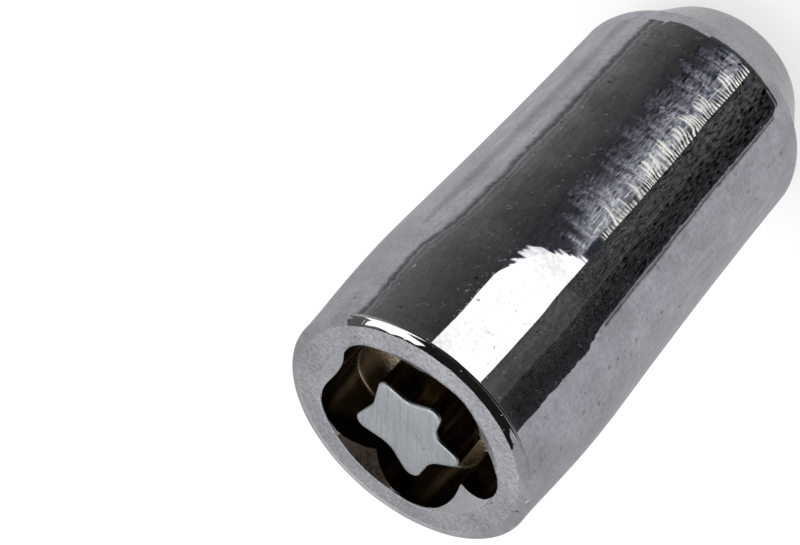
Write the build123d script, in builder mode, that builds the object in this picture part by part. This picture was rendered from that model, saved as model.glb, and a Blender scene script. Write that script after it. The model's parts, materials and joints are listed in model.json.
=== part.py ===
"""Locking wheel nut: one steel piece, forged and turned, then chrome plated.

The nut stands on its seat end. Its axis is +Z, the ring it stands on is at z = 0 and the key face is on top.
All sizes are in millimetres and all angles in degrees.
"""

import math
import os

from build123d import *

# Round body, drawn in a little at its middle, with a slow taper towards the key face and a shallow rim round it
BODY_DIAMETER = 25.4
OVERALL_LENGTH = 56.4
WAIST_DEPTH = 0.2
TAPER_LENGTH = 10.6
TAPER_ANGLE = 4.5
TAPER_BLEND_RADIUS = 100.0
RIM_WIDTH = 1.0
RIM_ANGLE = 15.0
RIM_EDGE_RADIUS = 0.2

# Conical seat that centres the wheel, measured as an included angle, inside a narrow step at the body's end
SEAT_ANGLE = 46.0
SEAT_LENGTH = 7.1
SEAT_STEP = 0.5
SEAT_EDGE_RADIUS = 0.5
BODY_END_CHAMFER = 0.35

# Blind thread, left as a plain wall at its minor diameter
THREAD_DIAMETER = 14.0
THREAD_PITCH = 1.5
THREAD_MOUTH_CLEARANCE = 0.3
DRILL_POINT_ANGLE = 118.0
WEB_THICKNESS = 7.5

# Key recess: a lobed groove round a post with five points, all unevenly spaced so that only one key fits.
# A lobe lies outside each point. Halfway to the next point the post has a valley of its own height, measured
# before rounding from the centre of the point's round, and the wall opposite has a tooth of its own height.
POINT_BEARINGS = (-90.0, -29.0, 51.5, 132.5, 208.5)
VALLEY_HEIGHTS = (1.4, 1.6, 2.1, 1.85, 2.4)
VALLEY_ROUNDS = (2.5, 2.5, 2.5, 2.5, 1.2)
TOOTH_HEIGHTS = (2.0, 2.2, 2.05, 2.3, 2.0)
TOOTH_TIP_RADII = (0.25, 12.0, 0.25, 0.25, 0.25)
RECESS_DEPTH = 5.4
POST_RADIUS = 5.2
GROOVE_WIDTH = 3.7
LOBE_RELIEF = 0.1
LEAD_IN_ANGLE = 30.0
LEAD_IN_DEPTH = 1.5
POINT_ROUND = 0.9
POST_EDGE_RADIUS = 0.2

# Share of the internal thread's pitch between its major and minor radius, for a 60 degree thread
THREAD_DEPTH_PER_PITCH = 0.5413


def tangent(degrees):
    return math.tan(math.radians(degrees))


def polar(radius, bearing):
    turn = math.radians(bearing)
    return (radius * math.cos(turn), radius * math.sin(turn))


# Radii and heights that follow from the sizes above
body_radius = BODY_DIAMETER / 2
taper_start = OVERALL_LENGTH - TAPER_LENGTH
rim_height = OVERALL_LENGTH - RIM_WIDTH * tangent(RIM_ANGLE)
rim_radius = body_radius - (rim_height - taper_start) * tangent(TAPER_ANGLE)
face_radius = rim_radius - RIM_WIDTH
waist_radius = body_radius - WAIST_DEPTH
waist_height = (SEAT_LENGTH + taper_start) / 2
thread_radius = THREAD_DIAMETER / 2
bore_radius = thread_radius - THREAD_DEPTH_PER_PITCH * THREAD_PITCH
thread_mouth_radius = thread_radius + THREAD_MOUTH_CLEARANCE
thread_mouth_depth = thread_mouth_radius - bore_radius
seat_top_radius = body_radius - SEAT_STEP
seat_end_radius = seat_top_radius - SEAT_LENGTH * tangent(SEAT_ANGLE / 2)
recess_floor = OVERALL_LENGTH - RECESS_DEPTH
drill_tip = recess_floor - WEB_THICKNESS
bore_end = drill_tip - bore_radius / tangent(DRILL_POINT_ANGLE / 2)
lobe_reach = POST_RADIUS + GROOVE_WIDTH
mouth_radius = lobe_reach - LOBE_RELIEF
lead_in_reach = mouth_radius - LEAD_IN_DEPTH / tangent(LEAD_IN_ANGLE)
point_centre_reach = POST_RADIUS - POINT_ROUND
next_bearings = POINT_BEARINGS[1:] + (POINT_BEARINGS[0] + 360.0,)
gap_bearings = [(bearing + after) / 2 for bearing, after in zip(POINT_BEARINGS, next_bearings)]
points = [polar(point_centre_reach, bearing) for bearing in POINT_BEARINGS]
valleys = [polar(point_centre_reach - height, bearing) for height, bearing in zip(VALLEY_HEIGHTS, gap_bearings)]
teeth = [polar(lobe_reach - height, bearing) for height, bearing in zip(TOOTH_HEIGHTS, gap_bearings)]

# Outline of the post: five points with rounded tips and hollow sides
with BuildSketch() as post:
    with BuildLine():
        Polyline(*[corner for pair in zip(points, valleys) for corner in pair], close=True)
    make_face()
    offset(amount=POINT_ROUND)
    for valley, valley_round in zip(valleys, VALLEY_ROUNDS):
        fillet(post.vertices().sort_by_distance(valley)[0], valley_round)

with BuildPart() as wheel_nut:
    # Turned body with its seat and its blind bore, as half a section
    with BuildSketch(Plane.XZ) as section:
        with BuildLine():
            seat_end = Polyline(
                (0, drill_tip),
                (bore_radius, bore_end),
                (bore_radius, thread_mouth_depth),
                (thread_mouth_radius, 0),
                (seat_end_radius, 0),
                (seat_top_radius, SEAT_LENGTH),
                (body_radius, SEAT_LENGTH),
            )
            side = ThreePointArc(seat_end @ 1, (waist_radius, waist_height), (body_radius, taper_start))
            Polyline(
                side @ 1,
                (rim_radius, rim_height),
                (face_radius, OVERALL_LENGTH),
                (0, OVERALL_LENGTH),
                seat_end @ 0,
            )
        make_face()
        widest = section.vertices().group_by(Axis.X)[-1].sort_by(Axis.Y)
        fillet(widest[-1], TAPER_BLEND_RADIUS)
        chamfer(section.vertices().group_by(Axis.X)[-1].sort_by(Axis.Y)[0], BODY_END_CHAMFER)
        fillet(section.vertices().group_by(Axis.Y)[-2], RIM_EDGE_RADIUS)
        fillet(section.vertices().group_by(Axis.Y)[0].sort_by(Axis.X)[-1], SEAT_EDGE_RADIUS)
    revolve(axis=Axis.Z)

    # Conical lead-in, which stays only on the teeth between the lobes
    with BuildSketch(Plane.XZ):
        with BuildLine():
            Polyline(
                (lead_in_reach, OVERALL_LENGTH),
                (mouth_radius, OVERALL_LENGTH),
                (lead_in_reach, OVERALL_LENGTH - LEAD_IN_DEPTH),
                close=True,
            )
        make_face()
    revolve(axis=Axis.Z, mode=Mode.SUBTRACT)

    # Lobed groove round the post, each lobe an arc from tooth to tooth
    with BuildSketch(Plane.XY.offset(OVERALL_LENGTH)) as groove:
        with BuildLine():
            for bearing, before, after in zip(POINT_BEARINGS, teeth[-1:] + teeth[:-1], teeth):
                ThreePointArc(before, polar(lobe_reach, bearing), after)
        make_face()
        for tooth, tip_radius in zip(teeth, TOOTH_TIP_RADII):
            fillet(groove.vertices().sort_by_distance(tooth)[0], tip_radius)
        add(post.sketch, mode=Mode.SUBTRACT)
    extrude(amount=-RECESS_DEPTH, mode=Mode.SUBTRACT)

    # Broken edge round the top of the post
    post_top = wheel_nut.faces().group_by(Axis.Z)[-1].sort_by_distance((0, 0, OVERALL_LENGTH))[0]
    fillet(post_top.edges(), POST_EDGE_RADIUS)

wheel_nut.part.label = "wheel_nut"

os.makedirs("parts", exist_ok=True)
export_step(wheel_nut.part, "parts/wheel_nut.step")
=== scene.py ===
import json
import math
import random

import bmesh
import bpy
import numpy as np
from mathutils import Matrix, Vector, noise


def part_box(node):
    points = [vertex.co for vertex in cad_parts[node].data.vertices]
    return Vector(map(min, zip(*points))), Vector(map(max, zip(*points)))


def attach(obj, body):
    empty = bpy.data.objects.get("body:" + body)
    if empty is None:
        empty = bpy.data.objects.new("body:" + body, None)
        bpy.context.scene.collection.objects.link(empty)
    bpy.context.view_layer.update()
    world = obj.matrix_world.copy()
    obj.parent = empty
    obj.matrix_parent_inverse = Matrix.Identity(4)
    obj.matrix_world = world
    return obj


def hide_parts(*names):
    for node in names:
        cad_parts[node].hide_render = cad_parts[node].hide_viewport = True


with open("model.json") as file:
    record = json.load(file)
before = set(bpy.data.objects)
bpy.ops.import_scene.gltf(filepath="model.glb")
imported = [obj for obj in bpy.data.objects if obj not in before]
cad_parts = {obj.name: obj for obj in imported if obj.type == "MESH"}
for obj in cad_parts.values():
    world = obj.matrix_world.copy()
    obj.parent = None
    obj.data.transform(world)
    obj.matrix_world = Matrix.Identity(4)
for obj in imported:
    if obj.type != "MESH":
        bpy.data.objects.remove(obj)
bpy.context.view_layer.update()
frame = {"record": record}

# Sizes in millimetres. The length and the bore's radius come from the frame. The others repeat the part's own
# sizes, or are small forms that only the visual model has, such as fillets, hollows and waves.
MM = 0.001
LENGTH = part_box("wheel_nut")[1].z / MM
THREAD = next(mount for mount in frame["record"]["mounts"] if mount["name"] == "stud_thread")
BORE_RADIUS = THREAD["dims"]["r_mm"]

BODY_RADIUS = 12.7
WAIST_DEPTH = 0.2
TAPER_LENGTH = 10.6
TAPER_ANGLE = math.radians(4.5)
TAPER_BLEND = 0.49
RIM_WIDTH = 1.0
RIM_ANGLE = math.radians(15.0)
RIM_HOLLOW = math.radians(4.0)
RIM_EDGE_RADIUS = 0.2
RIM_WAVE = 0.08
RIM_EDGE_WAVE = 0.4
SEAT_HALF_ANGLE = math.radians(23.0)
SEAT_LENGTH = 7.1
SEAT_STEP = 0.5
SEAT_EDGE_RADIUS = 0.5
BODY_END_CHAMFER = 0.35

THREAD_RADIUS = 7.0
THREAD_PITCH = 1.5
THREAD_MOUTH_RADIUS = 7.3
DRILL_HALF_ANGLE = math.radians(59.0)
DRILL_TIP = 43.5
THREAD_RUNOUT_START = 34.7

POINT_BEARINGS = (-90.0, -29.0, 51.5, 132.5, 208.5)
VALLEY_HEIGHTS = (1.4, 1.6, 2.1, 1.85, 2.4)
VALLEY_ROUNDS = (2.5, 2.5, 2.5, 2.5, 1.2)
TOOTH_HEIGHTS = (2.0, 2.2, 2.05, 2.3, 2.0)
TOOTH_TIP_RADII = (0.25, 12.0, 0.25, 0.25, 0.25)
RECESS_DEPTH = 5.4
POST_RADIUS = 5.2
LOBE_REACH = 8.9
MOUTH_RADIUS = 8.8
LEAD_IN_ANGLE = math.radians(30.0)
POINT_ROUND = 0.9
POST_EDGE_RADIUS = 0.2
MOUTH_EDGE_RADIUS = 0.12
FLOOR_FILLET = 0.3
LEAD_IN_BLEND = 0.3
POST_MIDDLE_SHARE = 0.05
# One tooth's lead-in is worn, and over this half angle it is painted brown-black as shade
WORN_SHADED_TOOTH = 2
WORN_SHADED_HALF_ANGLE = math.radians(22.0)

# Mesh: columns round the axis, rows along the section, gaps that are closed, and the angle that stays sharp
COLUMNS = 480
SIDE_ROWS = 48
POST_TOP_ROWS = 8
RIM_EDGE_ROWS = 8
EDGE_ROWS = 7
WALL_ROWS = 6
LEAD_IN_ROWS = 5
SEAT_EDGE_ROWS = 5
SHORT_ROWS = 2
THREAD_COLUMNS = 120
THREAD_ROWS = 240
THREAD_SEAM = 0.001
JOIN_GAP = 0.0005
SHARP_ANGLE = math.radians(14.0)
ROUNDING = 1e-9

# View, from a camera fitted to the nut's outline in the photograph
LENS = 72.0
SENSOR_WIDTH = 36.0
CLIP_START = 0.005
CLIP_END = 20.0
VIEW_AIM = Vector((9.485, 0.81, 45.069)) * MM
VIEW_AZIMUTH = math.radians(4.884)
VIEW_ELEVATION = math.radians(36.508)
VIEW_DISTANCE = 138.368 * MM
VIEW_ROLL = math.radians(-135.726)
VIEW_BACK = Vector((math.sin(VIEW_AZIMUTH) * math.cos(VIEW_ELEVATION),
                    -math.cos(VIEW_AZIMUTH) * math.cos(VIEW_ELEVATION), math.sin(VIEW_ELEVATION)))
VIEW_PLACE = VIEW_AIM + VIEW_BACK * VIEW_DISTANCE
VIEW_BEARING = math.atan2(VIEW_PLACE.y, VIEW_PLACE.x)


def linear(hex_colour):
    """The linear colour, with alpha, of an sRGB hex value."""
    channels = [int(hex_colour[i:i + 2], 16) / 255 for i in (1, 3, 5)]
    return tuple(c / 12.92 if c <= 0.04045 else ((c + 0.055) / 1.055) ** 2.4 for c in channels) + (1.0,)


def add(tree, kind, settings=None, inputs=None):
    """Adds a node with its settings, and sets or links its inputs."""
    node = tree.nodes.new(kind)
    for name, value in (settings or {}).items():
        setattr(node, name, value)
    for name, value in (inputs or {}).items():
        if isinstance(value, bpy.types.NodeSocket):
            tree.links.new(value, node.inputs[name])
        else:
            node.inputs[name].default_value = value
    return node


def new_material(name):
    material = bpy.data.materials.new(name)
    material.use_nodes = True
    material.node_tree.nodes.clear()
    return material, material.node_tree


# Materials. Real buffing and grinding lines, pits and scratches are a few hundredths of a millimetre wide.
# That is too fine to show in the render, so the grains and the marks below are drawn several times coarser.

# Turn of a pattern that lies along the axes
EVEN = (0.0, 0.0, 0.0)
# Inputs of the node that carries a value from one range to another and stops at its ends
RANGE = ("Value", "From Min", "From Max", "To Min", "To Max")
# Most of a noise's values, those that change the gloss, and its few peaks, which give spots and marks
NOISE_RANGE = (0.3, 0.7)
GLOSS_RANGE = (0.35, 0.65)
SPOT_RANGE = (0.68, 0.72)
MARK_RANGE = (0.73, 0.81)
# Sizes in millimetres, and how far each one moves the colour from its darker to its lighter shade
STAIN_SIZE = (4.0, 4.0, 4.0)
STAIN_SHARE = 0.45
SPECK_SIZE = (0.4, 0.4, 0.4)
SPECK_SHARE = 0.3
STREAK_SHARE = 0.1
# Dark spots, and how much of the plating's colour they hide
SPOT_SIZE = (0.7, 0.7, 0.7)
SPOT_SHARE = 0.7
SPOT_COLOUR = "#3b393a"


def pattern(tree, size_mm, turn=EVEN, detail=2.0):
    """A noise whose grains have a size in millimetres along each axis and a turn in degrees about it."""
    place = add(tree, "ShaderNodeTexCoord").outputs["Object"]
    grains = add(tree, "ShaderNodeMapping", {"vector_type": "TEXTURE"}, {
        "Vector": place,
        "Rotation": [math.radians(angle) for angle in turn],
        "Scale": [size * MM for size in size_mm],
    })
    return add(tree, "ShaderNodeTexNoise", inputs={
        "Vector": grains.outputs[0], "Scale": 1.0, "Detail": detail}).outputs[0]


def plated_metal(name, shades, roughness, grain, swell, marks):
    """A plated metal. Its colour is mottled between two shades with a few dark spots, its gloss and its fine
    lines follow the grain, slow swells bend what it mirrors, and marks such as pits and scratches break it.
    The grain, the swell and each mark have their size along each axis in millimetres, their turn in degrees
    and their height in millimetres."""
    material, tree = new_material(name)
    grain_size, grain_turn, grain_height = grain
    swell_size, swell_turn, swell_height = swell
    lines = pattern(tree, grain_size, grain_turn, detail=1.0)
    stains = pattern(tree, STAIN_SIZE, detail=5.0)
    specks = pattern(tree, SPECK_SIZE)
    mottle = 0.0
    for layer, share in ((stains, STAIN_SHARE), (specks, SPECK_SHARE), (lines, STREAK_SHARE)):
        tint = add(tree, "ShaderNodeMapRange", inputs=dict(zip(RANGE, (layer, *NOISE_RANGE, 0.0, share))))
        mottle = add(tree, "ShaderNodeMath", {"operation": "ADD"}, {
            0: mottle, 1: tint.outputs[0]}).outputs[0]
    metal = add(tree, "ShaderNodeMix", {"data_type": "RGBA"}, {
        0: mottle, 6: linear(shades[0]), 7: linear(shades[1])})
    spots = pattern(tree, SPOT_SIZE, detail=4.0)
    hidden = add(tree, "ShaderNodeMapRange", inputs=dict(zip(RANGE, (spots, *SPOT_RANGE, 0.0, SPOT_SHARE))))
    colour = add(tree, "ShaderNodeMix", {"data_type": "RGBA"}, {
        0: hidden.outputs[0], 6: metal.outputs[2], 7: linear(SPOT_COLOUR)})

    waves = pattern(tree, swell_size, swell_turn, detail=1.0)
    height = 0.0
    for layer, rise in ((lines, grain_height), (waves, swell_height)):
        height = add(tree, "ShaderNodeMath", {"operation": "MULTIPLY_ADD"}, {
            0: layer, 1: rise, 2: height}).outputs[0]
    for size, turn, depth in marks:
        layer = pattern(tree, size, turn)
        hollow = add(tree, "ShaderNodeMapRange", inputs=dict(zip(RANGE, (layer, *MARK_RANGE, 0.0, -depth))))
        height = add(tree, "ShaderNodeMath", {"operation": "ADD"}, {
            0: height, 1: hollow.outputs[0]}).outputs[0]
    bump = add(tree, "ShaderNodeBump", inputs={"Height": height, "Distance": MM, "Strength": 1.0})

    gloss = add(tree, "ShaderNodeMapRange", inputs=dict(zip(RANGE, (lines, *GLOSS_RANGE, *roughness))))
    shader = add(tree, "ShaderNodeBsdfPrincipled", inputs={
        "Base Color": colour.outputs[2],
        "Metallic": 1.0,
        "Roughness": gloss.outputs[0],
        "Normal": bump.outputs[0],
    })
    add(tree, "ShaderNodeOutputMaterial", inputs={"Surface": shader.outputs[0]})
    return material


# Grain, swells and marks of a blasted or milled surface under chrome
BLASTED = {
    "grain": ((0.35, 0.35, 0.35), EVEN, 0.009),
    "swell": ((4.0, 4.0, 4.0), EVEN, 0.04),
    "marks": (((0.5, 0.5, 0.5), EVEN, 0.05), ((0.12, 3.0, 3.0), (0.0, 0.0, -40.0), 0.03)),
}
# Bright chrome over a turned body: a mirror with fine lines round the axis, small pits and stray scratches
CHROME = plated_metal("chrome_plate_turned_and_buffed", ("#7d7e81", "#b1b2b6"), (0.02, 0.04),
                      grain=((9.0, 9.0, 0.4), EVEN, 0.0004), swell=((4.0, 4.0, 6.0), EVEN, 0.05),
                      marks=(((0.3, 0.3, 0.3), EVEN, 0.012), ((0.09, 4.0, 1.6), (0.0, 35.0, 0.0), 0.01),
                             ((0.09, 4.0, 1.0), (0.0, -50.0, 0.0), 0.01)))
# Chrome over a sawn and blasted face: satin, mottled, with pits and stray scratches
SATIN = plated_metal("chrome_plate_satin", ("#737479", "#9f9fa5"), (0.2, 0.32), **BLASTED)
# Chrome over the teeth's milled lead-in: more matt than the face beside it, and lighter, which is painted
# light on the sloped lead-in
MATT_PAINTED_LIGHT = plated_metal("chrome_plate_matt_painted_light", ("#9b9ca1", "#c6c6cb"), (0.3, 0.45), **BLASTED)
# Chrome over a ground face: a satin with straight grinding lines
GROUND = plated_metal("chrome_plate_ground", ("#797c80", "#93979b"), (0.25, 0.35),
                      grain=((5.0, 0.2, 5.0), (0.0, 0.0, -55.0), 0.007),
                      swell=((4.0, 4.0, 4.0), EVEN, 0.01),
                      marks=(((0.4, 0.4, 0.4), EVEN, 0.05), ((3.0, 0.1, 3.0), (0.0, 0.0, -48.0), 0.03)))
# Nickel under little chrome, where plating hardly reached: a dark warm sheen with streaks along the cut
NICKEL = plated_metal("nickel_plate_thin", ("#574d42", "#6f6354"), (0.16, 0.28),
                      grain=((0.5, 0.5, 4.0), EVEN, 0.008), swell=((3.0, 3.0, 3.0), EVEN, 0.02),
                      marks=(((0.3, 0.3, 0.3), EVEN, 0.03), ((0.12, 0.12, 3.0), EVEN, 0.01)))
# Bare, worn steel: dull, speckled where it is rubbed bright, and painted brown-black as shade, for the shade
# and dark reflections that fall on the worn tooth's lead-in
WORN_SHADED = plated_metal("steel_worn_with_painted_shade", ("#352e27", "#7c6e64"), (0.25, 0.5),
                    grain=((0.4, 0.4, 0.4), EVEN, 0.03), swell=((2.0, 2.0, 2.0), EVEN, 0.02),
                    marks=(((0.3, 0.3, 0.3), EVEN, 0.08), ((0.12, 2.0, 2.0), (0.0, 0.0, 20.0), 0.04)))
# Thin nickel on the forged floor of the recess: tan, dull and finely pitted, and brightened as painted light,
# for the light that falls on the floor from above
FORGED_PAINTED_LIGHT = plated_metal("nickel_plate_on_forged_steel_painted_light", ("#9a8d77", "#c0b095"), (0.18, 0.3),
                      grain=((0.25, 0.25, 0.25), EVEN, 0.010), swell=((2.0, 2.0, 2.0), EVEN, 0.02),
                      marks=(((0.3, 0.3, 0.3), EVEN, 0.05), ((0.12, 2.0, 2.0), (0.0, 0.0, 20.0), 0.01)))
# Cut steel with no plating to speak of: grey, with the tap's fine marks
STEEL = plated_metal("steel_tapped", ("#7a7a7b", "#918f8d"), (0.2, 0.35),
                     grain=((2.0, 2.0, 0.2), EVEN, 0.004), swell=((3.0, 3.0, 3.0), EVEN, 0.01),
                     marks=(((0.4, 0.4, 0.4), EVEN, 0.02), ((1.5, 1.5, 0.12), EVEN, 0.006)))
FINISHES = (CHROME, SATIN, MATT_PAINTED_LIGHT, GROUND, NICKEL, FORGED_PAINTED_LIGHT, STEEL, WORN_SHADED)


# Nut body: rows of points round the axis, from the middle of the post over the rim and down to the thread

turns = np.linspace(0.0, 2 * math.pi, COLUMNS, endpoint=False)
rays = np.stack([np.cos(turns), np.sin(turns)], axis=1)
next_bearings = POINT_BEARINGS[1:] + (POINT_BEARINGS[0] + 360.0,)
gap_bearings = [(bearing + after) / 2 for bearing, after in zip(POINT_BEARINGS, next_bearings)]


def polar(radius, bearing):
    turn = math.radians(bearing)
    return np.array([radius * math.cos(turn), radius * math.sin(turn)])


def wave(scale, seed):
    """A smooth unevenness round the axis, from about -1 to 1."""
    return np.array([noise.noise(Vector((scale * x, scale * y, seed))) for x, y in rays])


def turned_from(bearing):
    """The angle of each column from a bearing in degrees, from -pi to pi."""
    return (turns - math.radians(bearing) + math.pi) % (2 * math.pi) - math.pi


def lobe_circles():
    """Centre and radius of each lobe's circle, which runs from tooth to tooth through the lobe's reach."""
    teeth = [polar(LOBE_REACH - height, bearing) for height, bearing in zip(TOOTH_HEIGHTS, gap_bearings)]
    circles = []
    for index, bearing in enumerate(POINT_BEARINGS):
        before = teeth[index - 1]
        middle = polar(LOBE_REACH, bearing)
        after = teeth[index]
        sides = 2 * np.array([middle - before, after - before])
        squares = [middle @ middle - before @ before, after @ after - before @ before]
        centre = np.linalg.solve(sides, squares)
        circles.append((centre, np.linalg.norm(middle - centre)))
    return circles


def lobe_radii():
    """The outer wall of the groove: the furthest of the lobes' circles, with a round tip on each tooth."""
    circles = lobe_circles()
    reaches = []
    for centre, radius in circles:
        along = rays @ centre
        reaches.append(along + np.sqrt(np.maximum(radius**2 - centre @ centre + along**2, 0.0)))
    reach = np.max(reaches, axis=0)
    for index, (bearing, tip_radius) in enumerate(zip(gap_bearings, TOOTH_TIP_RADII)):
        first, first_radius = circles[index]
        second, second_radius = circles[(index + 1) % len(circles)]
        apart = np.linalg.norm(second - first)
        toward = (second - first) / apart
        to_first = first_radius + tip_radius
        to_second = second_radius + tip_radius
        along = (apart**2 + to_first**2 - to_second**2) / (2 * apart)
        across = np.array([toward[1], -toward[0]]) * math.sqrt(to_first**2 - along**2)
        tips = [first + toward * along + across, first + toward * along - across]
        tip = max(tips, key=lambda spot: spot @ polar(1.0, bearing))
        ends = [first + (tip - first) * first_radius / to_first,
                second + (tip - second) * second_radius / to_second]
        start, end = [math.atan2(spot[1], spot[0]) - math.radians(bearing) for spot in ends]
        angle = turned_from(bearing)
        start = (start + math.pi) % (2 * math.pi) - math.pi
        end = (end + math.pi) % (2 * math.pi) - math.pi
        rounded = (angle > start) & (angle < end)
        along = rays @ tip
        entry = along - np.sqrt(np.maximum(tip_radius**2 - tip @ tip + along**2, 0.0))
        reach = np.where(rounded, entry, reach)
    return reach


def post_radii():
    """The wall of the post: round points, straight flanks and hollow valleys, each tangent to the next."""
    radii = np.zeros(COLUMNS)
    centre = POST_RADIUS - POINT_ROUND
    count = len(POINT_BEARINGS)
    for index, bearing in enumerate(POINT_BEARINGS):
        for gap, side in ((index, 1.0), ((index - 1) % count, -1.0)):
            half_gap = abs(math.remainder(math.radians(gap_bearings[gap] - bearing), 2 * math.pi))
            valley_round = VALLEY_ROUNDS[gap]
            angle = turned_from(bearing) * side
            tip = Vector((centre, 0.0))
            middle = Vector((math.cos(half_gap), math.sin(half_gap)))
            along = (middle * (centre - VALLEY_HEIGHTS[gap]) - tip).normalized()
            outward = Vector((along.y, -along.x))
            facing = math.atan2(outward.y, outward.x)
            flank = outward.dot(tip) + POINT_ROUND
            hollow = (flank + valley_round) / math.cos(half_gap - facing)
            flank_start = tip + outward * POINT_ROUND
            flank_end = middle * hollow - outward * valley_round
            start = math.atan2(flank_start.y, flank_start.x)
            end = math.atan2(flank_end.y, flank_end.x)
            inside = (angle >= 0) & (angle <= half_gap + ROUNDING)
            on_tip = inside & (angle <= start)
            on_flank = inside & (angle > start) & (angle < end)
            in_valley = inside & (angle >= end)
            off = angle[on_tip]
            radii[on_tip] = centre * np.cos(off) + np.sqrt(POINT_ROUND**2 - (centre * np.sin(off)) ** 2)
            radii[on_flank] = flank / np.cos(angle[on_flank] - facing)
            off = angle[in_valley] - half_gap
            radii[in_valley] = hollow * np.cos(off) - np.sqrt(valley_round**2 - (hollow * np.sin(off)) ** 2)
    return radii


def side_radius(height):
    """The body's radius: drawn in a little at its waist, and blended into the taper near the key face."""
    taper_low = LENGTH - TAPER_LENGTH
    half = (taper_low - SEAT_LENGTH) / 2
    from_waist = (height - SEAT_LENGTH - half) / half
    waist = BODY_RADIUS - WAIST_DEPTH * (1 - from_waist**2)
    taper = BODY_RADIUS - (height - taper_low) * math.tan(TAPER_ANGLE)
    blend = np.maximum(TAPER_BLEND - np.abs(waist - taper), 0.0)
    return np.minimum(waist, taper) - blend**2 / (4 * TAPER_BLEND)


rows = []


def run(radius_from, height_from, radius_to, height_to, steps, finish):
    """Rows along a straight line of the section, after its first point."""
    for step in range(1, steps + 1):
        share = step / steps
        rows.append((radius_from + (radius_to - radius_from) * share,
                     height_from + (height_to - height_from) * share, finish))


def arc(radius_centre, height_centre, size, start, end, steps, finish):
    """Rows along an arc of the section. Angles are in radians, 0 outwards and a quarter turn up."""
    for step in range(steps + 1):
        angle = start + (end - start) * step / steps
        rows.append((radius_centre + size * np.cos(angle), height_centre + size * np.sin(angle), finish))


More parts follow.
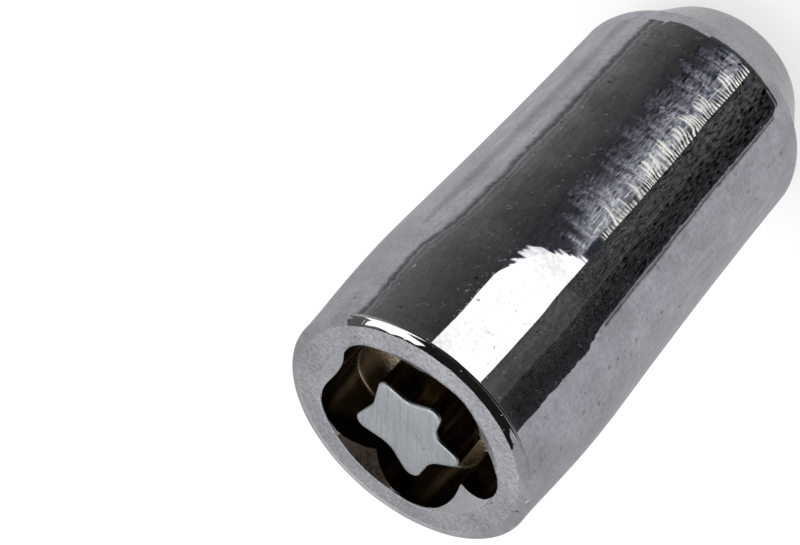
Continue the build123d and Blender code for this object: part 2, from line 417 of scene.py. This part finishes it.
def build_rows():
    quarter = math.pi / 2
    floor = LENGTH - RECESS_DEPTH
    post = post_radii()
    lobes = lobe_radii()

    # Post: ground top, broken edge, wall and floor
    inside = post - POST_EDGE_RADIUS
    run(inside * POST_MIDDLE_SHARE, LENGTH, inside, LENGTH, POST_TOP_ROWS, GROUND)
    arc(inside, LENGTH - POST_EDGE_RADIUS, POST_EDGE_RADIUS, quarter, 0.0, EDGE_ROWS, GROUND)
    run(post, LENGTH - POST_EDGE_RADIUS, post, floor + FLOOR_FILLET, WALL_ROWS, NICKEL)
    # Floor of the recess, brightened as painted light from above
    arc(post + FLOOR_FILLET, floor + FLOOR_FILLET, FLOOR_FILLET, -2 * quarter, -quarter, EDGE_ROWS, FORGED_PAINTED_LIGHT)
    run(post + FLOOR_FILLET, floor, lobes - FLOOR_FILLET, floor, WALL_ROWS, FORGED_PAINTED_LIGHT)
    arc(lobes - FLOOR_FILLET, floor + FLOOR_FILLET, FLOOR_FILLET, -quarter, 0.0, EDGE_ROWS, FORGED_PAINTED_LIGHT)

    # Lobe walls, the teeth's lead-in and the mouth's edge
    short = MOUTH_RADIUS - lobes
    wall_top = LENGTH - np.maximum(MOUTH_EDGE_RADIUS, short * math.tan(LEAD_IN_ANGLE))
    run(lobes, floor + FLOOR_FILLET, lobes, wall_top, WALL_ROWS, NICKEL)
    slope = quarter + (LEAD_IN_ANGLE - quarter) * np.clip(short / LEAD_IN_BLEND, 0, 1)
    mouth = np.maximum(MOUTH_RADIUS, lobes)
    edge = mouth + MOUTH_EDGE_RADIUS * np.tan(slope / 2)
    edge_low = edge - MOUTH_EDGE_RADIUS * np.sin(slope)
    edge_low_height = LENGTH - MOUTH_EDGE_RADIUS + MOUTH_EDGE_RADIUS * np.cos(slope)
    # Painted light and shade on the lead-in: the worn tooth's is brown-black as painted shade, the other
    # teeth's lighter as painted light
    worn = np.abs(turned_from(gap_bearings[WORN_SHADED_TOOTH])) < WORN_SHADED_HALF_ANGLE
    lead_in = [WORN_SHADED if spot else MATT_PAINTED_LIGHT for spot in worn]
    run(lobes, wall_top, edge_low, edge_low_height, LEAD_IN_ROWS, lead_in)
    arc(edge, LENGTH - MOUTH_EDGE_RADIUS, MOUTH_EDGE_RADIUS, quarter + slope, quarter, EDGE_ROWS, SATIN)

    # Flat key face with a crisp edge, inside a shallow rim that polishing has left hollow and a little wavy
    rim_height = LENGTH - RIM_WIDTH * math.tan(RIM_ANGLE)
    rim_radius = BODY_RADIUS - (rim_height - LENGTH + TAPER_LENGTH) * math.tan(TAPER_ANGLE)
    face_edge = rim_radius - RIM_WIDTH + RIM_WAVE * wave(scale=7.0, seed=1.0)
    run(edge, LENGTH, face_edge, LENGTH, WALL_ROWS, SATIN)
    rim_edge = RIM_EDGE_RADIUS * (1 + RIM_EDGE_WAVE * wave(scale=5.0, seed=2.0))
    spread = rim_edge / (1 + math.sin(RIM_ANGLE + TAPER_ANGLE))
    edge_radius = rim_radius - spread * (math.sin(RIM_ANGLE) + math.cos(TAPER_ANGLE))
    edge_height = rim_height - spread * (math.cos(RIM_ANGLE) + math.sin(TAPER_ANGLE))
    slope_end = edge_radius + rim_edge * math.sin(RIM_ANGLE)
    slope_drop = LENGTH - edge_height - rim_edge * math.cos(RIM_ANGLE)
    steep = math.tan(RIM_ANGLE + RIM_HOLLOW) / math.tan(RIM_ANGLE)
    for share in np.linspace(0.0, 1.0, WALL_ROWS + 1)[1:-1]:
        drop = slope_drop * (steep * share - (steep - 1) * share**2)
        rows.append((face_edge + (slope_end - face_edge) * share, LENGTH - drop, CHROME))
    arc(edge_radius, edge_height, rim_edge, quarter - RIM_ANGLE, TAPER_ANGLE, RIM_EDGE_ROWS, CHROME)
    rim_edge_low = edge_height + rim_edge * math.sin(TAPER_ANGLE)

    # Side, chamfer, step and seat
    side_end = SEAT_LENGTH + BODY_END_CHAMFER
    for step in range(1, SIDE_ROWS + 1):
        height = rim_edge_low + (side_end - rim_edge_low) * step / SIDE_ROWS
        rows.append((side_radius(height), height, CHROME))
    seat_top = BODY_RADIUS - SEAT_STEP
    run(side_radius(side_end), side_end, BODY_RADIUS - BODY_END_CHAMFER, SEAT_LENGTH, SHORT_ROWS, SATIN)
    run(BODY_RADIUS - BODY_END_CHAMFER, SEAT_LENGTH, seat_top, SEAT_LENGTH, 1, SATIN)
    seat_end = seat_top - SEAT_LENGTH * math.tan(SEAT_HALF_ANGLE)
    end_centre = (seat_end + SEAT_EDGE_RADIUS * math.tan(SEAT_HALF_ANGLE)
                  - SEAT_EDGE_RADIUS / math.cos(SEAT_HALF_ANGLE))
    run(seat_top, SEAT_LENGTH, end_centre + SEAT_EDGE_RADIUS * math.cos(SEAT_HALF_ANGLE),
        SEAT_EDGE_RADIUS - SEAT_EDGE_RADIUS * math.sin(SEAT_HALF_ANGLE), WALL_ROWS, SATIN)
    arc(end_centre, SEAT_EDGE_RADIUS, SEAT_EDGE_RADIUS, -SEAT_HALF_ANGLE, -quarter, SEAT_EDGE_ROWS, SATIN)
    run(end_centre, 0.0, THREAD_MOUTH_RADIUS, 0.0, SHORT_ROWS, SATIN)


def body_mesh():
    """Joins the rows with faces, outwards from the middle of the post. The last row has as many points as
    the thread."""
    bm = bmesh.new()
    before = [bm.verts.new((0.0, 0.0, LENGTH * MM))] * COLUMNS
    for index, (radius, height, finish) in enumerate(rows):
        radius = np.broadcast_to(radius, COLUMNS) * MM
        height = np.broadcast_to(height, COLUMNS) * MM
        finishes = finish if isinstance(finish, list) else [finish] * COLUMNS
        last = index == len(rows) - 1
        step = COLUMNS // THREAD_COLUMNS if last else 1
        row = [bm.verts.new((radius[k] * rays[k][0], radius[k] * rays[k][1], height[k]))
               for k in range(0, COLUMNS, step)]
        for k in range(len(row)):
            inner = [before[(k * step + s) % COLUMNS] for s in range(step + 1)]
            corners = inner + [row[(k + 1) % len(row)], row[k]]
            if index == 0:
                corners = corners[1:]
            face = bm.faces.new(corners)
            face.material_index = FINISHES.index(finishes[k])
            face.smooth = True
        before = row
    return bm


# Blind thread: one rule gives the hole's radius at every depth and turn

def thread_tree():
    """A grid that is rolled up into the hole. Across it runs the turn round the axis, along it the depth."""
    tree = bpy.data.node_groups.new("blind_internal_thread", "GeometryNodeTree")
    sizes = (("Depth", DRILL_TIP), ("Pitch", THREAD_PITCH), ("Minor Radius", BORE_RADIUS),
             ("Major Radius", THREAD_RADIUS), ("Mouth Radius", THREAD_MOUTH_RADIUS),
             ("Runout Start", THREAD_RUNOUT_START))
    sockets = []
    for name, size in sizes:
        socket = tree.interface.new_socket(name, in_out="INPUT", socket_type="NodeSocketFloat")
        sockets.append((socket, size * MM))
    tree.interface.new_socket("Geometry", in_out="OUTPUT", socket_type="NodeSocketGeometry")
    given = add(tree, "NodeGroupInput").outputs
    grid = add(tree, "GeometryNodeMeshGrid", inputs={
        "Size X": 1.0, "Size Y": 1.0, "Vertices X": THREAD_COLUMNS + 1, "Vertices Y": THREAD_ROWS})
    position = add(tree, "GeometryNodeInputPosition").outputs[0]
    place = add(tree, "ShaderNodeSeparateXYZ", inputs={0: position}).outputs

    # Each step has its result, its operation and what goes in: an input, a number or an earlier result. The
    # grid starts half its size before the origin.
    values = {name: given[name] for name, size in sizes}
    values.update({"across": place["X"], "along": place["Y"]})
    steps = (
        ("turn", "ADD", "across", 0.5),
        ("depth share", "ADD", "along", 0.5),
        ("depth", "MULTIPLY", "depth share", "Depth"),
        ("pitches", "DIVIDE", "depth", "Pitch"),
        ("lead", "SUBTRACT", "pitches", "turn"),
        ("phase", "FRACT", "lead"),
        ("swing", "MULTIPLY_ADD", "phase", 2.0, -1.0),
        ("ridge", "ABSOLUTE", "swing"),
        # A quarter of the pitch stays flat at the minor radius and an eighth at the major radius
        ("groove", "RANGE", "ridge", 0.25, 0.875, 0.0, 1.0),
        # The thread runs out over two pitches
        ("runout end", "MULTIPLY_ADD", "Pitch", 2.0, "Runout Start"),
        ("fade", "RANGE", "depth", "Runout Start", "runout end", 1.0, 0.0),
        ("cut", "MULTIPLY", "groove", "fade"),
        ("thread height", "SUBTRACT", "Major Radius", "Minor Radius"),
        ("thread", "MULTIPLY_ADD", "thread height", "cut", "Minor Radius"),
        ("mouth", "SUBTRACT", "Mouth Radius", "depth"),
        ("above tip", "SUBTRACT", "Depth", "depth"),
        ("drill point", "MULTIPLY", "above tip", math.tan(DRILL_HALF_ANGLE)),
        ("opened", "MAXIMUM", "thread", "mouth"),
        ("radius", "MINIMUM", "opened", "drill point"),
        ("angle", "MULTIPLY", "turn", 2 * math.pi),
        ("cosine", "COSINE", "angle"),
        ("sine", "SINE", "angle"),
        ("x", "MULTIPLY", "radius", "cosine"),
        ("y", "MULTIPLY", "radius", "sine"),
    )
    for result, operation, *operands in steps:
        terms = [values[term] if isinstance(term, str) else term for term in operands]
        if operation == "RANGE":
            node = add(tree, "ShaderNodeMapRange", inputs=dict(zip(RANGE, terms)))
        else:
            node = add(tree, "ShaderNodeMath", {"operation": operation}, dict(enumerate(terms)))
        values[result] = node.outputs[0]

    rolled = add(tree, "ShaderNodeCombineXYZ", inputs={
        "X": values["x"], "Y": values["y"], "Z": values["depth"]})
    shaped = add(tree, "GeometryNodeSetPosition", inputs={
        "Geometry": grid.outputs["Mesh"], "Position": rolled.outputs[0]})
    closed = add(tree, "GeometryNodeMergeByDistance", inputs={
        "Geometry": shaped.outputs[0], "Distance": THREAD_SEAM * MM})
    real = add(tree, "GeometryNodeRealizeInstances", inputs={"Geometry": closed.outputs[0]})
    painted = add(tree, "GeometryNodeSetMaterial", inputs={"Geometry": real.outputs[0], "Material": STEEL})
    add(tree, "NodeGroupOutput", inputs={"Geometry": painted.outputs[0]})
    return tree, sockets


def thread_mesh():
    tree, sockets = thread_tree()
    holder = bpy.data.objects.new("thread_holder", bpy.data.meshes.new("thread_holder"))
    bpy.context.scene.collection.objects.link(holder)
    modifier = holder.modifiers.new("thread", "NODES")
    modifier.node_group = tree
    for socket, size in sockets:
        modifier[socket.identifier] = size
    evaluated = holder.evaluated_get(bpy.context.evaluated_depsgraph_get())
    mesh = bpy.data.meshes.new_from_object(evaluated)
    holder.modifiers.remove(modifier)
    bpy.data.objects.remove(holder)
    return mesh


def build_nut():
    build_rows()
    bm = body_mesh()
    body_faces = len(bm.faces)
    bm.from_mesh(thread_mesh())
    bm.faces.ensure_lookup_table()
    for face in bm.faces[body_faces:]:
        face.material_index = FINISHES.index(STEEL)
        face.smooth = True
    bmesh.ops.remove_doubles(bm, verts=bm.verts, dist=JOIN_GAP * MM)
    bmesh.ops.recalc_face_normals(bm, faces=bm.faces)
    mesh = bpy.data.meshes.new("wheel_nut_plated")
    bm.to_mesh(mesh)
    bm.free()
    mesh.set_sharp_from_angle(angle=SHARP_ANGLE)
    for finish in FINISHES:
        mesh.materials.append(finish)
    nut = bpy.data.objects.new("wheel_nut_plated", mesh)
    bpy.context.scene.collection.objects.link(nut)
    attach(nut, "root")
    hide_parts("wheel_nut")


# Studio: a pale floor, a soft light overhead and cards that the chrome mirrors

# Strength of the world's light, and sizes in metres
STUDIO_LIGHT = 0.85
FLOOR_HALF = 3.0
FLOOR_COLOUR = "#a4a4a4"
FLOOR_GLOW = 0.66
SOFTBOX_SIZE = 0.4
SOFTBOX_POWER = 1.2
SOFTBOX_PLACE = Vector((0.15, 0.2, 0.6))
SOFTBOX_AIM = Vector((0.0, 0.0, 0.03))

# Cards: the rays that pass through them, points across a tone and a sky card, rows to a millimetre of the
# body, how fast a side wavers along the body and across the card, and the pointed slats' chance and shape
UNSEEN_RAYS = ("camera", "diffuse", "transmission", "volume_scatter", "shadow")
POINTS_PER_TONE = 8
SKY_POINTS = 25
PLAIN_ROWS = 1
WAVER_ROWS = 6
WAVER_ALONG = 1.7
WAVER_ACROSS = 2.0
SLAT_SEED = 4
SLAT_MIDDLE = 0.4
SLAT_ROOT = 1.5


def staged_mesh(name, points, faces, material):
    mesh = bpy.data.meshes.new(name)
    mesh.from_pydata(points, [], faces)
    mesh.materials.append(material)
    obj = bpy.data.objects.new(name, mesh)
    bpy.context.scene.collection.objects.link(obj)
    return obj


def card(name, grids, mottle=0.0, size_mm=(3.0, 3.0, 3.0)):
    """A glowing card that only mirrors see. Each grid has rows of points, and each point has its colour. A
    mottle of some size makes its brightness uneven, as on worn cloth."""
    material, tree = new_material(name)
    colour = add(tree, "ShaderNodeAttribute", {"attribute_name": "card_colour"}).outputs["Color"]
    cloth = pattern(tree, size_mm, detail=5.0)
    level = add(tree, "ShaderNodeMapRange", inputs=dict(zip(RANGE, (
        cloth, *NOISE_RANGE, 1.0 - mottle, 1.0 + mottle))))
    glow = add(tree, "ShaderNodeEmission", inputs={"Color": colour, "Strength": level.outputs[0]})
    add(tree, "ShaderNodeOutputMaterial", inputs={"Surface": glow.outputs[0]})
    points = []
    colours = []
    faces = []
    for grid in grids:
        first = len(points)
        across = len(grid[0])
        for row in grid:
            points += [spot for spot, shown in row]
            colours += [shown for spot, shown in row]
        for row in range(len(grid) - 1):
            for column in range(across - 1):
                corner = first + row * across + column
                faces.append((corner, corner + 1, corner + across + 1, corner + across))
    obj = staged_mesh(name, points, faces, material)
    layer = obj.data.color_attributes.new("card_colour", "FLOAT_COLOR", "POINT")
    for spot, shown in zip(layer.data, colours):
        spot.color = (*shown, 1.0)
    for ray in UNSEEN_RAYS:
        setattr(obj, "visible_" + ray, False)


def mirrored_spot(turn, height, lift, reach=None):
    """The spot on the floor that the body mirrors to the camera, or the one in its direction at a reach. The
    turn is in degrees round the body, to the right of the line to the camera, and the height is on the body.
    Height, lift and reach are in millimetres."""
    bearing = VIEW_BEARING - math.radians(turn)
    step = 0.01
    slope = (side_radius(height + step) - side_radius(height - step)) / (2 * step)
    normal = Vector((math.cos(bearing), math.sin(bearing), -slope)).normalized()
    radius = side_radius(height)
    wall = Vector((radius * math.cos(bearing), radius * math.sin(bearing), height)) * MM
    seen = (VIEW_PLACE - wall).normalized()
    ray = normal * (2 * seen.dot(normal)) - seen
    if reach:
        spot = wall + ray * (reach * MM / math.hypot(ray.x, ray.y))
        return Vector((spot.x, spot.y, lift * MM))
    return wall + ray * ((lift * MM - wall.z) / ray.z)


def floor_card(name, patches, colours, lift, reach=None, waver=0.0, **mottle):
    """A card on the floor in front of the nut, given as the patches of the body that mirror it. A patch lists
    heights on the body, each with the two turns between which the card shows there. The colours follow each
    other evenly from its left side to its right. Its lift keeps it clear of the cards below it. It may go on
    to a reach, where it has faded into the floor, and its sides may waver by some degrees."""
    grids = []
    places = np.linspace(0.0, 1.0, len(colours))
    shares = np.linspace(0.0, 1.0, POINTS_PER_TONE * (len(colours) - 1) + 1)
    ramp = np.stack([np.interp(shares, places, channel) for channel in zip(*colours)], axis=1)
    for patch in patches:
        stations, starts, ends = zip(*patch)
        rows_per_mm = WAVER_ROWS if waver else PLAIN_ROWS
        steps = max(2, math.ceil(rows_per_mm * (stations[-1] - stations[0])))
        heights = np.linspace(stations[0], stations[-1], steps + 1)
        lines = [(height, None) for height in heights]
        if reach:
            lines.append((heights[-1], reach))
        grid = []
        for height, line_reach in lines:
            start = np.interp(height, stations, starts)
            end = np.interp(height, stations, ends)
            shown = np.ones_like(ramp) if line_reach else ramp
            line = []
            for share, colour in zip(shares, shown):
                shift = waver * noise.noise(Vector((WAVER_ALONG * height, WAVER_ACROSS * share, 0.0)))
                turn = start + (end - start) * share + shift
                line.append((mirrored_spot(turn, height, lift, line_reach), colour))
            grid.append(line)
        grids.append(grid)
    card(name, grids, **mottle)


def sky_card(name, bearings, elevations, distance, colour, fade=0.0):
    """A card that stands round the nut's key face, between two bearings from the camera's and two
    elevations. Its distance is in metres. It may fade into the studio's light over some degrees at both
    bearings."""
    grid = []
    colour = np.array(colour)
    for elevation in np.radians(np.linspace(*elevations, SKY_POINTS)):
        out = distance * math.cos(elevation)
        up = LENGTH * MM + distance * math.sin(elevation)
        row = []
        for bearing in np.linspace(*bearings, SKY_POINTS):
            inward = min(bearing - bearings[0], bearings[1] - bearing)
            share = min(inward / fade, 1.0) if fade else 1.0
            turn = VIEW_BEARING + math.radians(bearing)
            spot = (out * math.cos(turn), out * math.sin(turn), up)
            row.append((spot, STUDIO_LIGHT + (colour - STUDIO_LIGHT) * share))
        grid.append(row)
    card(name, [grid])


def spikes(stations, pitch, share, turn_to, uneven):
    """Patches for a card cut into pointed slats. The stations give the height and the turn of the points,
    which are uneven by some degrees. All slats end at one turn, and each takes up a share of the pitch."""
    chance = random.Random(SLAT_SEED)
    heights, tips = zip(*stations)
    half = pitch * share / 2
    patches = []
    for height in np.arange(heights[0], heights[-1], pitch):
        tip = np.interp(height, heights, tips) + uneven * (SLAT_MIDDLE - chance.random())
        root = max(tip, turn_to - SLAT_ROOT)
        patches.append([(height - half, root, turn_to), (height, tip, turn_to),
                        (height + half, root, turn_to)])
    return patches


def tones(tint, *levels):
    """Light of one tint at several levels, where 1 is white paper."""
    return [tuple(level * channel for channel in tint) for level in levels]


def build_cards():
    # Heights on the body and the cards' reach, in millimetres, and the turn at which the window ends
    foot = 7.6
    low = 8.9
    top = LENGTH - 0.4
    far = 600.0
    window_end = 8.7
    # Tints of the light, and sizes of a mottle in millimetres
    plain = (1.0, 1.0, 1.0)
    cool = (1.0, 0.99, 1.05)
    warm = (1.08, 1.0, 0.92)
    daylight = (1.0, 0.99, 0.93)
    sunlight = (1.04, 1.0, 0.9)
    fine = (0.7, 0.7, 0.7)
    coarse = (0.8, 0.8, 0.8)

    # Paper on both sides, which falls off outwards, with a soft dim strip on the left
    floor_card("card_paper_left", [[(foot, -80.0, -44.0), (top, -80.0, -44.0)]],
               tones(cool, 0.42, 0.52, 0.64, 0.74, 0.83, 0.88, 0.88), 0.1, far, mottle=0.1)
    floor_card("card_paper_right", [[(foot, 29.0, 80.0), (top, 31.0, 80.0)]],
               tones(cool, 0.92, 0.91, 0.88, 0.8, 0.68, 0.55, 0.42), 0.1, far, mottle=0.1)
    floor_card("card_dim_left", [[(low, -59.0, -50.0), (38.0, -59.0, -50.0), (44.0, -58.0, -53.0)]],
               tones(cool, 0.75, 0.66, 0.62, 0.72, 0.85), 0.15, waver=0.6)

    # Dark on the left, darkest towards the middle, with a streaked edge that steps out below the taper
    floor_card("card_left_edge", [[(low + 0.3, -43.0, -35.0), (low + 2.0, -44.5, -36.0),
                                   (42.0, -44.5, -36.0), (45.0, -45.5, -38.0), (48.0, -49.5, -42.0),
                                   (top, -50.0, -42.5)]],
               tones(plain, 0.86, 0.66, 0.34, 0.22, 0.5, 0.28, 0.4, 0.29), 0.2, far, 1.3)
    floor_card("card_dark_left", [[(low, -33.0, -14.0), (low + 0.8, -35.5, -14.0), (low + 2.0, -36.5, -14.0),
                                   (42.0, -36.5, -14.0), (45.0, -38.5, -14.0), (48.0, -42.5, -14.5),
                                   (top, -43.0, -14.5)]],
               tones(plain, 0.29, 0.21, 0.15, 0.1), 0.25, far, 0.8, mottle=0.15)

    # Dark in the middle and on the right, where it is mottled and the last stretch is black
    floor_card("card_dark_middle", [[(low, -14.5, 9.0), (top, -14.5, 9.0)]],
               ((0.09, 0.09, 0.1), (0.07, 0.08, 0.1)), 0.2, far, mottle=0.3)
    floor_card("card_dark_right", [[(low, window_end, 19.5), (44.0, window_end, 19.5)]],
               tones(plain, 0.1, 0.17, 0.12, 0.19), 0.2, mottle=1.1, size_mm=fine)
    floor_card("card_dark_right_top", [[(43.5, window_end, 19.5), (top, window_end, 19.5)]],
               tones(plain, 0.17, 0.24, 0.18, 0.2), 0.22, far, mottle=0.3)
    floor_card("card_black", [[(low + 0.2, 18.0, 27.5), (low + 1.2, 18.0, 29.2), (43.0, 18.3, 29.6),
                               (46.0, 19.0, 32.3), (top, 19.0, 32.5)]],
               ((0.1, 0.09, 0.085), (0.055, 0.05, 0.05), (0.07, 0.065, 0.08)), 0.25, far, 0.8, mottle=1.4,
               size_mm=coarse)
    floor_card("card_black_edge", [[(low + 1.2, 29.0, 31.5), (43.0, 29.3, 31.9)]],
               tones(plain, 0.1, 0.75, 0.14, 0.6, 0.9), 0.3, waver=0.5)
    floor_card("card_brown_edge", [[(low - 0.25, -14.0, 27.0), (low + 0.15, -14.0, 28.5)]],
               tones(warm, 0.15, 0.08), 0.35)

    # Window light: a clear pane with a ragged foot, a slatted stretch below it and a bluish one beside that
    floor_card("card_window", [[(40.9, 4.0, window_end), (41.5, 0.0, window_end), (43.0, -6.0, window_end),
                                (44.5, -9.5, window_end), (47.0, -14.0, window_end),
                                (top, -14.4, window_end)]],
               tones(daylight, 3.4, 3.5), 0.6, far)
    pane_foot = [(40.5, 4.0), (41.5, -3.0), (43.0, -9.0), (44.5, -12.0), (47.0, -14.4)]
    floor_card("card_window_foot", spikes(pane_foot, 0.47, 0.6, window_end, 5.0),
               tones(plain, 2.6, 3.4, 3.4), 0.55)
    slats = [(9.4, 2.5), (14.0, 2.0), (24.0, 1.5), (33.0, 3.5), (37.5, 4.5)]
    floor_card("card_slats", spikes(slats, 0.47, 0.37, window_end, 7.5), tones(sunlight, 2.2, 2.9, 3.2), 0.5)
    blue_slats = [(9.4, -12.0), (24.0, -13.0), (36.0, -10.0), (40.5, -2.0)]
    floor_card("card_slats_blue", spikes(blue_slats, 0.31, 0.7, 6.0, 10.0),
               ((0.09, 0.095, 0.11), (0.3, 0.31, 0.36), (0.9, 0.92, 1.02), (1.4, 1.43, 1.52),
                (0.25, 0.25, 0.26)), 0.4, mottle=1.0, size_mm=fine)

    # Dark above and behind the camera, and a window in it that whitens one stretch of the rim. Beyond it a
    # bright ceiling lightens the near side of the key face.
    sky_card("card_ceiling", (-22.0, 14.0), (127.0, 140.0), 0.63, (4.5, 4.5, 4.5))
    sky_card("card_dark_sky", (-85.0, 85.0), (-5.0, 126.0), 0.62, (0.03, 0.028, 0.026), fade=30.0)
    sky_card("card_dim_sky_left", (-40.0, -12.0), (124.0, 136.0), 0.61, (0.24, 0.235, 0.23))
    sky_card("card_window_sky", (-35.5, -20.0), (116.0, 130.0), 0.6, (3.5, 3.45, 3.2))


def build_floor():
    """Pale floor that reads as white to the eye and in the chrome, and keeps the nut's shadow."""
    material, tree = new_material("studio_floor")
    path = add(tree, "ShaderNodeLightPath").outputs
    seen = add(tree, "ShaderNodeMath", {"operation": "MAXIMUM"},
               {0: path["Is Camera Ray"], 1: path["Is Glossy Ray"]}).outputs[0]
    lift = add(tree, "ShaderNodeMath", {"operation": "MULTIPLY"}, {0: seen, 1: FLOOR_GLOW}).outputs[0]
    paper = add(tree, "ShaderNodeBsdfDiffuse", inputs={"Color": linear(FLOOR_COLOUR)})
    glow = add(tree, "ShaderNodeEmission", inputs={"Strength": lift})
    both = add(tree, "ShaderNodeAddShader", inputs={0: paper.outputs[0], 1: glow.outputs[0]})
    add(tree, "ShaderNodeOutputMaterial", inputs={"Surface": both.outputs[0]})
    half = FLOOR_HALF
    points = [(-half, -half, 0), (half, -half, 0), (half, half, 0), (-half, half, 0)]
    staged_mesh("studio_floor", points, [(0, 1, 2, 3)], material)


def build_light():
    world = bpy.data.worlds.new("studio")
    bpy.context.scene.world = world
    world.use_nodes = True
    tree = world.node_tree
    tree.nodes.clear()
    # Beyond the floor the eye sees white
    seen = add(tree, "ShaderNodeLightPath").outputs["Is Camera Ray"]
    level = add(tree, "ShaderNodeMapRange", inputs=dict(zip(RANGE, (seen, 0.0, 1.0, STUDIO_LIGHT, 1.0))))
    sky = add(tree, "ShaderNodeBackground", inputs={
        "Color": (1.0, 1.0, 1.0, 1.0), "Strength": level.outputs[0]})
    add(tree, "ShaderNodeOutputWorld", inputs={"Surface": sky.outputs[0]})
    lamp = bpy.data.lights.new("overhead_softbox", "AREA")
    lamp.shape = "RECTANGLE"
    lamp.size = SOFTBOX_SIZE
    lamp.size_y = SOFTBOX_SIZE
    lamp.energy = SOFTBOX_POWER
    softbox = bpy.data.objects.new("overhead_softbox", lamp)
    softbox.location = SOFTBOX_PLACE
    aim = SOFTBOX_AIM - SOFTBOX_PLACE
    softbox.rotation_euler = aim.to_track_quat("-Z", "Y").to_euler()
    # The chrome mirrors the cards instead of the lamp
    softbox.visible_glossy = False
    bpy.context.scene.collection.objects.link(softbox)


def build_camera():
    data = bpy.data.cameras.new("view")
    data.lens = LENS
    data.sensor_width = SENSOR_WIDTH
    data.clip_start = CLIP_START
    data.clip_end = CLIP_END
    camera = bpy.data.objects.new("view", data)
    bpy.context.scene.collection.objects.link(camera)
    turn = (Matrix.Rotation(VIEW_AZIMUTH, 4, "Z") @ Matrix.Rotation(math.pi / 2 - VIEW_ELEVATION, 4, "X")
            @ Matrix.Rotation(VIEW_ROLL, 4, "Z"))
    camera.matrix_world = Matrix.Translation(VIEW_PLACE) @ turn
    bpy.context.scene.camera = camera


build_nut()
build_floor()
build_cards()
build_light()
build_camera()
bpy.context.scene.view_settings.view_transform = "Standard"
